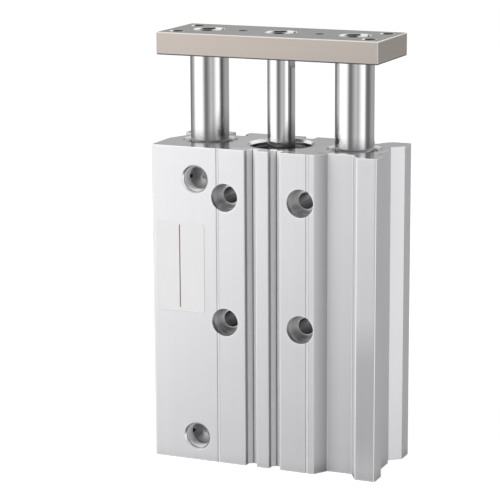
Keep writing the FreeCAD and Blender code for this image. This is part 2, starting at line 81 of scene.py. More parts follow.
def join(tree, kind, inputs=None, **settings):
    """Adds one node; inputs are plain values or the outputs of other nodes."""
    node = tree.nodes.new(kind)
    for name, value in settings.items():
        setattr(node, name, value)
    for name, value in (inputs or {}).items():
        plug_in(tree, node.inputs[name], value)
    return node


def reckon(tree, operation, *values, clamp=False):
    """One Math node, and its result."""
    node = join(tree, "ShaderNodeMath", operation=operation, use_clamp=clamp)
    for slot, value in zip(node.inputs, values):
        plug_in(tree, slot, value)
    return node.outputs[0]


def chain(tree, operation, values):
    """One operation worked through a row of values from the left."""
    result = values[0]
    for value in values[1:]:
        result = reckon(tree, operation, result, value)
    return result


def product(tree, *values):
    return chain(tree, "MULTIPLY", values)


def largest(tree, *values):
    return chain(tree, "MAXIMUM", values)


def total(tree, *values):
    return chain(tree, "ADD", values)


def off(tree, value, middle):
    return reckon(tree, "SUBTRACT", value, middle)


def unsigned(tree, value):
    return reckon(tree, "ABSOLUTE", value)


def above(tree, value, limit):
    return reckon(tree, "GREATER_THAN", value, limit)


def below(tree, value, limit):
    return reckon(tree, "LESS_THAN", value, limit)


def near(tree, value, middle, reach):
    return reckon(tree, "COMPARE", value, middle, reach)


def within(tree, across, along, reach):
    """1 inside a round area of the given reach."""
    squares = total(tree, product(tree, across, across), product(tree, along, along))
    return below(tree, squares, reach * reach)


def parts_of(tree, vector):
    return join(tree, "ShaderNodeSeparateXYZ", {"Vector": vector}).outputs


def spread(tree, value, low, high, to_low, to_high):
    """Stretches a value from one range to another and stops at its ends."""
    inputs = {"Value": value, "From Min": low, "From Max": high, "To Min": to_low, "To Max": to_high}
    return join(tree, "ShaderNodeMapRange", inputs, clamp=True).outputs["Result"]


def mixed(tree, mask, first, second):
    """Mixes two values by a mask."""
    node = tree.nodes.new("ShaderNodeMix")
    for place, value in ((0, mask), (2, first), (3, second)):
        plug_in(tree, node.inputs[place], value)
    return node.outputs[0]


def blend(tree, mask, first, second):
    """Mixes two colours by a mask."""
    node = join(tree, "ShaderNodeMix", data_type="RGBA")
    for place, value in ((0, mask), (6, first), (7, second)):
        plug_in(tree, node.inputs[place], value)
    return node.outputs[2]


BLACK = (0.0, 0.0, 0.0)
WHITE = (1.0, 1.0, 1.0)


def grey(level, blue=0.01):
    """A grey with a little blue in it."""
    return (level, level, level + blue)


def dimmed(tree, colour, share):
    """Darkens a colour to a share of itself."""
    return blend(tree, share, BLACK, colour)


def noise(tree, place, scale, detail, roughness):
    inputs = {"Vector": place, "Scale": scale, "Detail": detail, "Roughness": roughness}
    return join(tree, "ShaderNodeTexNoise", inputs).outputs[0]


def object_place(tree):
    return join(tree, "ShaderNodeTexCoord").outputs["Object"]


def facing_of(tree, kind="Normal"):
    """Which way the surface faces: sideways, backward and upward."""
    return parts_of(tree, join(tree, "ShaderNodeNewGeometry").outputs[kind])


def new_effect(name, inputs, outputs):
    """An empty node group with its named inputs and outputs."""
    kinds = {"vector": "NodeSocketVector", "value": "NodeSocketFloat"}
    tree = bpy.data.node_groups.new(name, "ShaderNodeTree")
    for label, kind, start in inputs:
        made = tree.interface.new_socket(name=label, in_out="INPUT", socket_type=kinds[kind])
        if start is not None:
            made.default_value = start
    for label, kind in outputs:
        tree.interface.new_socket(name=label, in_out="OUTPUT", socket_type=kinds[kind])
    taken = tree.nodes.new("NodeGroupInput").outputs
    given = tree.nodes.new("NodeGroupOutput").inputs
    return tree, taken, given


def use_effect(tree, effect, **inputs):
    """Places an effect in a material with its own values."""
    node = join(tree, "ShaderNodeGroup", node_tree=effect)
    for name, value in inputs.items():
        plug_in(tree, node.inputs[name.replace("_", " ")], value)
    return node.outputs


# Effects that several finishes share


def make_drawn_grain():
    """Long streaks, as a die or a grinding wheel leaves them; fineness is in streaks per metre."""
    tree, taken, given = new_effect(
        "drawn grain",
        [("Place", "vector", None), ("Fineness", "vector", (3000.0, 3000.0, 12.0)), ("Contrast", "value", 1.0)],
        [("Streak", "value")],
    )
    stretched = join(tree, "ShaderNodeVectorMath", {0: taken["Place"], 1: taken["Fineness"]}, operation="MULTIPLY")
    fine = noise(tree, stretched.outputs[0], 1.0, 3.0, 0.62)
    broad = noise(tree, stretched.outputs[0], 0.11, 1.0, 0.5)
    centred = off(tree, total(tree, fine, product(tree, broad, 0.6)), 0.8)
    strong = product(tree, centred, taken["Contrast"])
    tree.links.new(reckon(tree, "ADD", strong, 0.5, clamp=True), given["Streak"])
    return tree


def make_lathe_rings():
    """Rings about an upright axis at x = plus or minus Axis X, on flat faces by radius and on walls by height."""
    tree, taken, given = new_effect(
        "lathe rings",
        [("Place", "vector", None), ("Axis X", "value", 0.0), ("Rings per Metre", "value", 6000.0)],
        [("Ring", "value"), ("Radius", "value"), ("Angle", "value")],
    )
    x, y, z = parts_of(tree, taken["Place"])
    fineness = taken["Rings per Metre"]
    across = off(tree, unsigned(tree, x), taken["Axis X"])
    radius = reckon(tree, "SQRT", total(tree, product(tree, across, across), product(tree, y, y)))
    angle = reckon(tree, "ARCTAN2", y, across)
    cell = {
        "X": product(tree, radius, fineness),
        "Y": product(tree, z, fineness),
        "Z": product(tree, reckon(tree, "COSINE", angle), 0.4),
    }
    ring = noise(tree, join(tree, "ShaderNodeCombineXYZ", cell).outputs[0], 1.0, 2.0, 0.55)
    for value, label in ((ring, "Ring"), (radius, "Radius"), (angle, "Angle")):
        tree.links.new(value, given[label])
    return tree


def make_rounded_edges():
    """The broken edges of a machined piece: a mask that is 1 on them, by which the metal finishes paint a highlight,
    and the rounded normal.
    """
    tree, taken, given = new_effect(
        "rounded edges",
        [("Radius", "value", 0.0003), ("Start", "value", 0.03), ("End", "value", 0.3)],
        [("Edge", "value"), ("Normal", "vector")],
    )
    rounded = join(tree, "ShaderNodeBevel", {"Radius": taken["Radius"]}, samples=8).outputs[0]
    face = join(tree, "ShaderNodeNewGeometry").outputs["Normal"]
    agree = join(tree, "ShaderNodeVectorMath", {0: rounded, 1: face}, operation="DOT_PRODUCT").outputs["Value"]
    turned = off(tree, 1.0, agree)
    tree.links.new(spread(tree, turned, taken["Start"], taken["End"], 0.0, 1.0), given["Edge"])
    tree.links.new(rounded, given["Normal"])
    return tree


def make_cloudiness():
    """Soft uneven patches with a fine speckle over them."""
    tree, taken, given = new_effect(
        "cloudiness",
        [("Place", "vector", None), ("Patches", "value", 90.0), ("Speckle", "value", 4000.0)],
        [("Cloud", "value"), ("Grain", "value")],
    )
    cloud = noise(tree, taken["Place"], taken["Patches"], 4.0, 0.55)
    grain = noise(tree, taken["Place"], taken["Speckle"], 2.0, 0.6)
    tree.links.new(spread(tree, cloud, 0.3, 0.7, 0.0, 1.0), given["Cloud"])
    tree.links.new(spread(tree, grain, 0.3, 0.7, 0.0, 1.0), given["Grain"])
    return tree


def make_pores():
    """Scattered small pits, as in sintered metal and bonded powder."""
    tree, taken, given = new_effect(
        "pores",
        [("Place", "vector", None), ("Pores per Metre", "value", 2600.0), ("Pit Size", "value", 0.25)],
        [("Pit", "value")],
    )
    inputs = {"Vector": taken["Place"], "Scale": taken["Pores per Metre"], "Randomness": 1.0}
    reach = join(tree, "ShaderNodeTexVoronoi", inputs, feature="F1").outputs["Distance"]
    tree.links.new(spread(tree, reach, taken["Pit Size"], 0.05, 0.0, 1.0), given["Pit"])
    return tree


def make_crevice_shade():
    """Painted crevice shade: how open a place is, 1 in the open, towards 0 deep in holes and corners; materials darken
    their colour by it.
    """
    tree, taken, given = new_effect(
        "crevice_shade",
        [("Reach", "value", 0.005), ("Depth", "value", 0.5), ("Shut At", "value", 0.1), ("Open At", "value", 0.85)],
        [("Open", "value")],
    )
    closeness = join(tree, "ShaderNodeAmbientOcclusion", {"Distance": taken["Reach"]}, samples=8).outputs["AO"]
    clear = spread(tree, closeness, taken["Shut At"], taken["Open At"], 0.0, 1.0)
    shut = product(tree, off(tree, 1.0, clear), taken["Depth"])
    tree.links.new(off(tree, 1.0, shut), given["Open"])
    return tree


def make_corner_highlight():
    """Slanting narrow faces, such as chamfers and roundings between square sides, on which the block and the end plate
    paint a highlight.
    """
    tree, taken, given = new_effect(
        "corner painted_highlight", [("Start", "value", 0.14), ("End", "value", 0.24)], [("Corner", "value")]
    )
    square = largest(tree, *[unsigned(tree, side) for side in facing_of(tree)])
    slant = off(tree, 1.0, square)
    tree.links.new(spread(tree, slant, taken["Start"], taken["End"], 0.0, 1.0), given["Corner"])
    return tree


def make_rims():
    """Outer edges by their thinness: 1 where two faces meet with metal between them, 0 on the open faces; the block
    paints a highlight on them.
    """
    tree, taken, given = new_effect("rims", [("Reach", "value", 0.0006)], [("Rim", "value")])
    thickness = join(tree, "ShaderNodeAmbientOcclusion", {"Distance": taken["Reach"]}, samples=8, inside=True)
    tree.links.new(spread(tree, thickness.outputs["AO"], 0.92, 0.6, 0.0, 1.0), given["Rim"])
    return tree


GRAIN = make_drawn_grain()
RINGS = make_lathe_rings()
EDGES = make_rounded_edges()
CLOUDS = make_cloudiness()
PORES = make_pores()
CREVICE_SHADE = make_crevice_shade()
CORNER_HIGHLIGHT = make_corner_highlight()
RIMS = make_rims()


# Materials


def blank_material(name):
    material = bpy.data.materials.new(name)
    material.use_nodes = True
    material.node_tree.nodes.clear()
    return material, material.node_tree


def start_material(name):
    """A material with its shader and nothing else in it."""
    material, tree = blank_material(name)
    shader = tree.nodes.new("ShaderNodeBsdfPrincipled")
    join(tree, "ShaderNodeOutputMaterial", {"Surface": shader.outputs[0]})
    return material, tree, shader


def feed(tree, shader, **values):
    """Sets or links the shader's sockets."""
    names = {
        "colour": "Base Color",
        "metallic": "Metallic",
        "roughness": "Roughness",
        "normal": "Normal",
        "specular": "Specular IOR Level",
        "sheen": "Sheen Weight",
        "subsurface": "Subsurface Weight",
    }
    for key, value in values.items():
        plug_in(tree, shader.inputs[names[key]], value)


def bumps(tree, height, depth, strength=1.0, normal=None):
    """A bump from a height pattern; depth is in metres."""
    inputs = {"Height": height, "Distance": depth, "Strength": strength}
    if normal is not None:
        inputs["Normal"] = normal
    return join(tree, "ShaderNodeBump", inputs).outputs[0]


def from_row(tree, z, rows):
    """Height above the nearer of two rows of holes."""
    upper, lower = [off(tree, z, row) for row in rows]
    return mixed(tree, above(tree, z, sum(rows) / 2), lower, upper)


def machined_holes(tree, x, y, z):
    """Two masks: the bores, bolt holes and ports, all cut after the block is anodised; and the ports alone."""
    out = unsigned(tree, x)
    near_front = below(tree, y, CUT_Y)
    inside = below(tree, unsigned(tree, y), 17.45 * MM)
    bore = within(tree, x, y, BORE_RADIUS)
    guide_bores = within(tree, off(tree, out, GUIDE_X), y, GUIDE_BORE_RADIUS)
    across, along = off(tree, out, BOLT_HOLE_X), from_row(tree, z, BOLT_HOLE_ROWS)
    shanks = within(tree, across, along, BOLT_SHANK_RADIUS)
    heads = product(tree, within(tree, across, along, BOLT_HEAD_RADIUS), near_front)
    ports = within(tree, off(tree, x, PORT_X), from_row(tree, z, PORT_ROWS), PORT_RADIUS)
    ports = product(tree, ports, near_front, inside)
    return largest(tree, product(tree, largest(tree, bore, guide_bores, shanks, heads), inside), ports), ports


def bolt_hole_tones(tree, x, y, z):
    """Inside the four bolt holes: the painted gleam along the narrow part, the painted highlight on the middle of the
    wall, the painted shade at the bottom.
    """
    across = off(tree, unsigned(tree, x), BOLT_HOLE_X)
    along = from_row(tree, z, BOLT_HOLE_ROWS)
    away = unsigned(tree, along)
    here = within(tree, across, along, 5.2 * MM)
    narrow = product(tree, within(tree, across, along, 3.0 * MM), above(tree, y, -11.6 * MM))
    gleam = product(tree, narrow, spread(tree, away, 0.3 * MM, 1.8 * MM, 1.0, 0.0))
    middle = product(tree, here, spread(tree, away, 0.6 * MM, 2.8 * MM, 1.0, 0.0))
    bottom = product(tree, here, spread(tree, along, -1.4 * MM, -3.6 * MM, 0.0, 1.0))
    return gleam, middle, bottom


def hole_finish(tree, x, y, z, ports, boring):
    """The colour of the cut metal in bolt holes and ports, with painted highlights and painted shade in them, and where
    the bolt holes get a painted gleam.
    """
    gleam, middle, bottom = bolt_hole_tones(tree, x, y, z)
    shade = blend(tree, boring, grey(0.54), grey(0.76))
    # Painted highlight on the middle of the bolt holes' walls, painted shade at their bottoms.
    shade = blend(tree, product(tree, middle, 0.55), shade, grey(0.98))
    shade = blend(tree, product(tree, bottom, 0.32), shade, BLACK)
    # How high a point lies in its port: 0 near the port's bottom, 1 above its axis. It darkens the port's wall and
    # floor low down with painted shade; the left part of the floor gets painted shade too.
    height = spread(tree, from_row(tree, z, PORT_ROWS), -3.4 * MM, 1.4 * MM, 0.0, 1.0)
    bright_wall = blend(tree, boring, grey(0.82), grey(0.94))
    wall = blend(tree, reckon(tree, "POWER", height, 0.6), grey(0.24, 0.005), bright_wall)
    bright_floor = blend(tree, boring, grey(0.58), grey(0.74))
    right_half = spread(tree, off(tree, x, PORT_X), -2.6 * MM, -0.6 * MM, 0.0, 1.0)
    floor = blend(tree, height, grey(0.18, 0.005), bright_floor)
    floor = blend(tree, right_half, grey(0.34, 0.005), floor)
    at_floor = product(tree, ports, above(tree, y, -11.45 * MM))
    return blend(tree, at_floor, blend(tree, ports, shade, wall), floor), gleam


def groove_floors(tree, x, y, frontal):
    """1 on the floors of the two sensor grooves and low on their walls, where the block paints light: a lighter colour,
    kept out of its painted crevice shade.
    """
    in_grooves = below(tree, unsigned(tree, x), 12 * MM)
    sunk = product(tree, above(tree, y, -17.2 * MM), below(tree, y, -11.5 * MM))
    low_wall = product(tree, spread(tree, y, -15.8 * MM, -15.1 * MM, 0.0, 1.0), below(tree, y, -13.78 * MM))
    return product(tree, in_grooves, sunk, largest(tree, frontal, low_wall))


def groove_mouths(tree, x, y, sideways):
    """1 on the walls of the sensor grooves near their mouths, which the block darkens with painted shade."""
    at_mouth = near(tree, y, -16.4 * MM, 0.9 * MM)
    wall = above(tree, unsigned(tree, sideways), 0.8)
    beside_middle = below(tree, unsigned(tree, x), 8 * MM)
    return product(tree, at_mouth, wall, beside_middle)


def front_lines(tree, x, y):
    """The two V lines down the front face: their sides, darkened with painted shade, and their middles, lightened with
    a painted highlight.
    """
    away = unsigned(tree, off(tree, unsigned(tree, x), V_LINE_X))
    in_front = below(tree, y, SKIN_Y)
    side = spread(tree, unsigned(tree, off(tree, away, 0.44 * MM)), 0.08 * MM, 0.2 * MM, 1.0, 0.0)
    middle = spread(tree, away, 0.20 * MM, 0.30 * MM, 1.0, 0.0)
    return product(tree, side, in_front), product(tree, middle, in_front)


def recess_shade(tree, x, y, frontal):
    """The share of light left on the side walls of the front recess, less towards its floor."""
    across = unsigned(tree, off(tree, x, GUIDE_X - 0.3 * MM))
    here = product(tree, below(tree, across, 7.7 * MM), below(tree, y, -12.0 * MM))
    side_wall = product(tree, here, off(tree, 1.0, frontal))
    left = spread(tree, y, -17.3 * MM, -12.6 * MM, 0.90, 0.58)
    return mixed(tree, side_wall, 1.0, left)


def lower_rib(tree, x, z, frontal):
    """1 on the lower half of the outer rib's front, which the photo shows in shade."""
    shaded = spread(tree, z, 57 * MM, 42 * MM, 0.0, 1.0)
    foot = spread(tree, z, 3 * MM, 16 * MM, 0.35, 1.0)
    return product(tree, shaded, foot, frontal, above(tree, x, RIB_LEFT_X))


def rib_edges(tree, x, y, upward):
    """1 on the two long front edges of the outer rib, where the block paints a white highlight."""
    edges = largest(tree, *[near(tree, x, middle, 0.24 * MM) for middle in RIB_EDGES_X])
    return product(tree, edges, below(tree, y, SKIN_Y), below(tree, unsigned(tree, upward), 0.3))


def end_flanks(tree, x, y, sideways, backward):
    """1 on the slanted rear flanks of the step grooves at both ends, where the block paints light, more of it lower
    down, and keeps out its painted crevice shade.
    """
    behind = near(tree, y, 9.2 * MM, 3.0 * MM)
    slanted = spread(tree, unsigned(tree, sideways), 0.5, 0.58, 0.0, 1.0)
    outside = above(tree, unsigned(tree, x), 36 * MM)
    turned_forward = spread(tree, backward, -0.5, -0.7, 0.0, 1.0)
    return product(tree, behind, slanted, outside, turned_forward)


def anodised_aluminium():
    """Extruded block: fine die lines up the sides, satin anodised, with milled ends; painted highlights on its broken
    edges, chamfers, V lines and rib edges, and painted light and shade in its hollows, holes, grooves, recess and outer
    rib.
    """
    material, tree, shader = start_material("satin anodised aluminium")
    place = object_place(tree)
    x, y, z = parts_of(tree, place)
    sideways, backward, upward = facing_of(tree)
    frontal = spread(tree, backward, -0.7, -0.95, 0.0, 1.0)
    streak = use_effect(tree, GRAIN, Place=place, Fineness=(2600.0, 2600.0, 9.0), Contrast=1.2)["Streak"]
    boring = use_effect(tree, GRAIN, Place=place, Fineness=(150.0, 1700.0, 150.0), Contrast=2.4)["Streak"]
    # The milled ends carry the cutter's arcs about a point 50 mm in front of the block's middle.
    sweep = join(tree, "ShaderNodeCombineXYZ", {"X": x, "Y": total(tree, y, 50 * MM)}).outputs[0]
    cutter = use_effect(tree, RINGS, Place=sweep, Rings_per_Metre=2600.0)["Ring"]
    clouds = use_effect(tree, CLOUDS, Place=place, Patches=55.0, Speckle=9000.0)
    edges = use_effect(tree, EDGES, Radius=0.22 * MM, Start=0.04, End=0.35)
    rim = largest(tree, edges["Edge"], use_effect(tree, RIMS, Reach=0.55 * MM)["Rim"])
    corner = use_effect(tree, CORNER_HIGHLIGHT)["Corner"]
    # Painted crevice shade.
    unshaded = use_effect(tree, CREVICE_SHADE, Reach=6 * MM, Depth=mixed(tree, frontal, 0.62, 0.26))["Open"]
    at_ends = largest(tree, above(tree, z, 111.5 * MM), below(tree, z, 0.5 * MM))
    end_face = product(tree, above(tree, unsigned(tree, upward), 0.9), at_ends)
    holes, ports = machined_holes(tree, x, y, z)
    hole_shade, gleam = hole_finish(tree, x, y, z, ports, boring)
    floors = groove_floors(tree, x, y, frontal)
    flanks = end_flanks(tree, x, y, sideways, backward)
    line_sides, line_middles = front_lines(tree, x, y)
    rib_highlights = rib_edges(tree, x, y, upward)
    # Painted highlight on chamfers and slanting faces, where they are out of the painted crevice shade.
    slanted = product(tree, corner, unshaded, 0.45)

    shade = blend(tree, streak, grey(0.85, 0.02), grey(0.90, 0.02))
    shade = blend(tree, spread(tree, clouds["Cloud"], 0.0, 1.0, 0.0, 0.3), shade, grey(0.82, 0.02))
    # Painted light on the groove floors; painted shade at the groove mouths and on the lower half of the outer rib.
    shade = blend(tree, floors, shade, grey(0.94))
    shade = blend(tree, groove_mouths(tree, x, y, sideways), shade, grey(0.50))
    shade = blend(tree, product(tree, lower_rib(tree, x, z, frontal), 0.22), shade, BLACK)
    shade = blend(tree, end_face, shade, blend(tree, cutter, grey(0.77), grey(0.85)))
    shade = blend(tree, holes, shade, hole_shade)
    # Painted light on the rear flanks of the end grooves.
    lighter = product(tree, flanks, spread(tree, z, 75 * MM, 35 * MM, 0.15, 0.6))
    shade = blend(tree, lighter, shade, grey(0.98))
    # Painted crevice shade everywhere but the ports, groove floors, bolt-hole gleams and flanks; then painted shade on
    # the recess walls.
    lit = largest(tree, unshaded, ports, floors, product(tree, holes, gleam), flanks)
    shade = dimmed(tree, shade, lit)
    shade = dimmed(tree, shade, recess_shade(tree, x, y, frontal))
    # Painted highlights on broken edges and chamfers, painted shade beside the V lines, and white painted highlights
    # down their middles and on the rib's edges.
    shade = blend(tree, product(tree, largest(tree, rim, slanted), 0.9), shade, grey(0.99))
    shade = blend(tree, line_sides, shade, grey(0.50))
    shade = blend(tree, largest(tree, line_middles, rib_highlights), shade, WHITE)

    rim = largest(tree, rim, line_middles)
    rough = spread(tree, streak, 0.0, 1.0, 0.31, 0.39)
    rough = mixed(tree, end_face, rough, spread(tree, cutter, 0.0, 1.0, 0.11, 0.19))
    rough = mixed(tree, holes, rough, spread(tree, boring, 0.0, 1.0, 0.12, 0.24))
    rough = mixed(tree, rim, rough, 0.14)
    metal = mixed(tree, largest(tree, holes, end_face, slanted), 0.56, 0.95)
    for mask, value in ((floors, 0.3), (rim, 0.2), (rib_highlights, 0.95)):
        metal = mixed(tree, mask, metal, value)
    relief = total(tree, streak, product(tree, clouds["Grain"], 0.6))
    relief = mixed(tree, end_face, relief, cutter)
    relief = mixed(tree, holes, relief, boring)
    normal = bumps(tree, relief, 0.003 * MM, 1.0, edges["Normal"])
    feed(tree, shader, colour=shade, metallic=metal, roughness=rough, normal=normal)
    return material


def tap_places():
    """How far the end plate's corner taps lie from its middle, across and back."""
    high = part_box("end_plate")[1]
    return high.x - TAP_INSET_X, high.y - TAP_INSET_Y


def plate_holes(tree, x, y):
    """1 in the holes of the end plate, and how far to the right of its hole's axis a point lies."""
    tap_x, tap_y = tap_places()
    pin_x = GUIDE_X / 2 + 0.7 * MM
    spots = [(middle, 0.0, 5.6 * MM) for middle in (0.0, GUIDE_X, -GUIDE_X)]
    spots += [(side * pin_x, 0.0, 1.78 * MM) for side in (-1, 1)]
    spots += [(i * tap_x, j * tap_y, 2.48 * MM) for i in (-1, 1) for j in (-1, 1)]
    masks, rights = [], []
    for middle, back, radius in spots:
        across = off(tree, x, middle)
        masks.append(within(tree, across, off(tree, y, back), radius))
        rights.append(product(tree, across, 1 / radius, masks[-1]))
    return largest(tree, *masks), total(tree, *rights)


def nickel_plating():
    """End plate: warm nickel over a ground surface, grain along the plate, broken edges with a painted highlight, and a
    ground top whose darker, cooler colour is a painted shade; painted crevice shade, painted shade under the plate and
    painted glints in its holes.
    """
    material, tree, shader = start_material("ground nickel plating")
    place = object_place(tree)
    grain = use_effect(tree, GRAIN, Place=place, Fineness=(25.0, 5200.0, 5200.0), Contrast=1.5)["Streak"]
    clouds = use_effect(tree, CLOUDS, Place=place, Patches=70.0, Speckle=7000.0)
    edges = use_effect(tree, EDGES, Radius=0.14 * MM, Start=0.06, End=0.35)
    corner = use_effect(tree, CORNER_HIGHLIGHT)["Corner"]
    unshaded = use_effect(tree, CREVICE_SHADE, Reach=4 * MM, Depth=0.85)["Open"]
    facing = facing_of(tree)[2]
    x, y, z = parts_of(tree, place)
    holes, right = plate_holes(tree, x, y)
    upward = spread(tree, facing, 0.6, 0.95, 0.0, 1.0)
    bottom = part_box("end_plate")[0].z
    under = spread(tree, z, bottom + 0.38 * MM, bottom + 0.52 * MM, 1.0, 0.0)
    under = largest(tree, under, spread(tree, facing, -0.2, -0.6, 0.0, 1.0))
    shade = blend(tree, grain, (0.55, 0.488, 0.443), (0.61, 0.545, 0.495))
    # Painted shade: the top faces darker and cooler than the sides.
    shade = blend(tree, upward, shade, blend(tree, grain, (0.33, 0.335, 0.323), (0.372, 0.377, 0.365)))
    shade = blend(tree, spread(tree, clouds["Cloud"], 0.0, 1.0, 0.0, 0.2), shade, (0.55, 0.51, 0.47))
    # Painted crevice shade, and painted shade along the bottom edge and the underside.
    shade = dimmed(tree, shade, unshaded)
    shade = blend(tree, under, shade, (0.16, 0.15, 0.14))

    # Painted glints on the walls of the holes, over painted dark shade; those between the bolts have only the one at
    # their right.
    at_pins = below(tree, unsigned(tree, off(tree, unsigned(tree, x), GUIDE_X / 2)), 8 * MM)
    at_bolts = below(tree, unsigned(tree, y), 5.9 * MM)
    left_glint = spread(tree, right, -0.7, -0.88, 0.0, 1.0)
    middle_glint = spread(tree, unsigned(tree, off(tree, right, 0.25)), 0.32, 0.2, 0.0, 0.85)
    more_glints = largest(tree, left_glint, product(tree, middle_glint, at_bolts))
    glint = largest(tree, spread(tree, right, 0.6, 0.85, 0.0, 1.0), mixed(tree, at_pins, more_glints, 0.0))
    shade = blend(tree, holes, shade, blend(tree, glint, (0.05, 0.05, 0.048), (0.97, 0.96, 0.94)))

    # Painted highlight on broken edges and chamfers, strongest on upper ones, kept off the holes, the underside and the
    # painted crevice shade.
    lifted = spread(tree, facing, 0.2, 0.6, 0.4, 1.0)
    kept = off(tree, 1.0, largest(tree, holes, under))
    bright = product(tree, largest(tree, edges["Edge"], corner), lifted, kept, unshaded)
    shade = blend(tree, product(tree, bright, 0.8), shade, (0.88, 0.86, 0.82))
    side_rough, top_rough = spread(tree, grain, 0.0, 1.0, 0.38, 0.48), spread(tree, grain, 0.0, 1.0, 0.20, 0.28)
    rough = mixed(tree, bright, mixed(tree, upward, side_rough, top_rough), 0.16)
    metal = mixed(tree, largest(tree, bright, upward), 0.5, 0.95)
    normal = bumps(tree, grain, 0.003 * MM, 1.0, edges["Normal"])
    feed(tree, shader, colour=shade, metallic=metal, roughness=rough, normal=normal)
    return material


def milled_flats(tree, x, z):
    """1 on the two wrench flats under the plate and on their run-outs."""
    backward = facing_of(tree, "True Normal")[1]
    narrow = below(tree, unsigned(tree, x), 4.79 * MM)
    level = below(tree, unsigned(tree, backward), 0.02)
    return product(tree, above(tree, z, 137.5 * MM), below(tree, z, 142.9 * MM), narrow, level)


def rod_foot(tree, x, z, sideways):
    """How open the foot of a rod is, for the painted shade that darkens it; on its right side that painted shade is
    deeper and stands in for the bore's rim mirrored there, more so on the left rod.
    """
    plate_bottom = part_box("end_plate")[0].z
    below_plate = spread(tree, z, plate_bottom - 16 * MM, plate_bottom - 10 * MM, 1.0, 0.0)
    right_rod = above(tree, x, 10 * MM)
    right_depth = mixed(tree, right_rod, 0.74, 0.5)
    right_reach = mixed(tree, right_rod, 13 * MM, 6 * MM)
    depth = product(tree, below_plate, spread(tree, sideways, 0.3, 0.75, 0.5, right_depth))
    reach = spread(tree, sideways, 0.3, 0.75, 6 * MM, right_reach)
    return use_effect(tree, CREVICE_SHADE, Reach=reach, Depth=depth, Shut_At=0.52, Open_At=0.99)["Open"]


def hard_chrome(name, axis_x):
    """Rods: polished chrome over fine grinding rings, with a painted highlight on broken edges, painted shade at the
    foot and a painted dark reflection down the left side.
    """
    material, tree, shader = start_material(name)
    place = object_place(tree)
    x, _, z = parts_of(tree, place)
    sideways = facing_of(tree)[0]
    rings = use_effect(tree, RINGS, Place=place, Axis_X=axis_x, Rings_per_Metre=9000.0)["Ring"]
    clouds = use_effect(tree, CLOUDS, Place=place, Patches=120.0, Speckle=6000.0)
    edges = use_effect(tree, EDGES, Radius=0.2 * MM, Start=0.05, End=0.4)
    unshaded = rod_foot(tree, x, z, sideways)
    milled = milled_flats(tree, x, z)
    shade = blend(tree, rings, grey(0.84), grey(0.88))
    # Painted highlight on broken edges, painted shade at the foot, and a painted dark reflection down the left side.
    shade = blend(tree, edges["Edge"], shade, grey(0.94))
    shade = dimmed(tree, shade, unshaded)
    shade = dimmed(tree, shade, spread(tree, sideways, -0.86, -0.72, 0.2, 1.0))
    shade = blend(tree, milled, shade, blend(tree, rings, grey(0.94), WHITE))
    rough = mixed(tree, unshaded, 0.30, spread(tree, clouds["Cloud"], 0.0, 1.0, 0.05, 0.09))
    rough = mixed(tree, milled, rough, 0.35)
    metal = mixed(tree, milled, mixed(tree, unshaded, 0.82, 1.0), 0.0)
    normal = bumps(tree, rings, 0.00012 * MM, 1.0, edges["Normal"])
    feed(tree, shader, colour=shade, metallic=metal, roughness=rough, normal=normal)
    return material


def turned_metal(name, dark, light, rough_low, rough_high, metallic=1.0):
    """A metal piece turned about the middle axis: rings, patches of sheen and broken edges with a painted highlight."""
    material, tree, shader = start_material(name)
    place = object_place(tree)
    rings = use_effect(tree, RINGS, Place=place, Rings_per_Metre=5000.0)["Ring"]
    clouds = use_effect(tree, CLOUDS, Place=place, Patches=160.0, Speckle=7000.0)
    edges = use_effect(tree, EDGES, Radius=0.2 * MM, Start=0.05, End=0.4)
    shade = blend(tree, spread(tree, rings, 0.25, 0.75, 0.0, 1.0), dark, light)
    shade = blend(tree, product(tree, edges["Edge"], 0.6), shade, tuple(min(1.0, 1.35 * c) for c in light))
    rough = spread(tree, total(tree, rings, clouds["Cloud"]), 0.3, 1.6, rough_low, rough_high)
    normal = bumps(tree, rings, 0.004 * MM, 1.0, edges["Normal"])
    feed(tree, shader, colour=shade, metallic=metallic, roughness=rough, normal=normal)
    return material


def treated_steel(name, dark, light, rough_low, rough_high, metallic, patches=220.0):
    """Sprung, pressed or plated steel: mottled treatment and rubbed edges, lightened as bare rubbed metal and as a
    painted highlight.
    """
    material, tree, shader = start_material(name)
    clouds = use_effect(tree, CLOUDS, Place=object_place(tree), Patches=patches, Speckle=9000.0)
    edges = use_effect(tree, EDGES, Radius=0.15 * MM, Start=0.05, End=0.4)
    mottle = product(tree, total(tree, clouds["Cloud"], clouds["Grain"]), 0.5)
    shade = blend(tree, mottle, dark, light)
    # The edges: bare rubbed metal and a painted highlight.
    shade = blend(tree, product(tree, edges["Edge"], 0.5), shade, tuple(min(1.0, 1.8 * c) for c in light))
    rough = spread(tree, mottle, 0.0, 1.0, rough_low, rough_high)
    normal = bumps(tree, clouds["Grain"], 0.006 * MM, 0.8, edges["Normal"])
    feed(tree, shader, colour=shade, metallic=metallic, roughness=rough, normal=normal)
    return material


def moulded(name, dark, light, rough_low, rough_high, depth, subsurface=0.0):
    """Rubber or plastic from a mould: faint flow patches and a fine skin."""
    material, tree, shader = start_material(name)
    clouds = use_effect(tree, CLOUDS, Place=object_place(tree), Patches=260.0, Speckle=8000.0)
    shade = blend(tree, clouds["Cloud"], dark, light)
    rough = spread(tree, clouds["Grain"], 0.0, 1.0, rough_low, rough_high)
    normal = bumps(tree, clouds["Grain"], depth * MM, 0.7)
    feed(tree, shader, colour=shade, metallic=0.0, roughness=rough, normal=normal, subsurface=subsurface)
    if subsurface:
        shader.inputs["Subsurface Scale"].default_value = 0.5 * MM
    return material


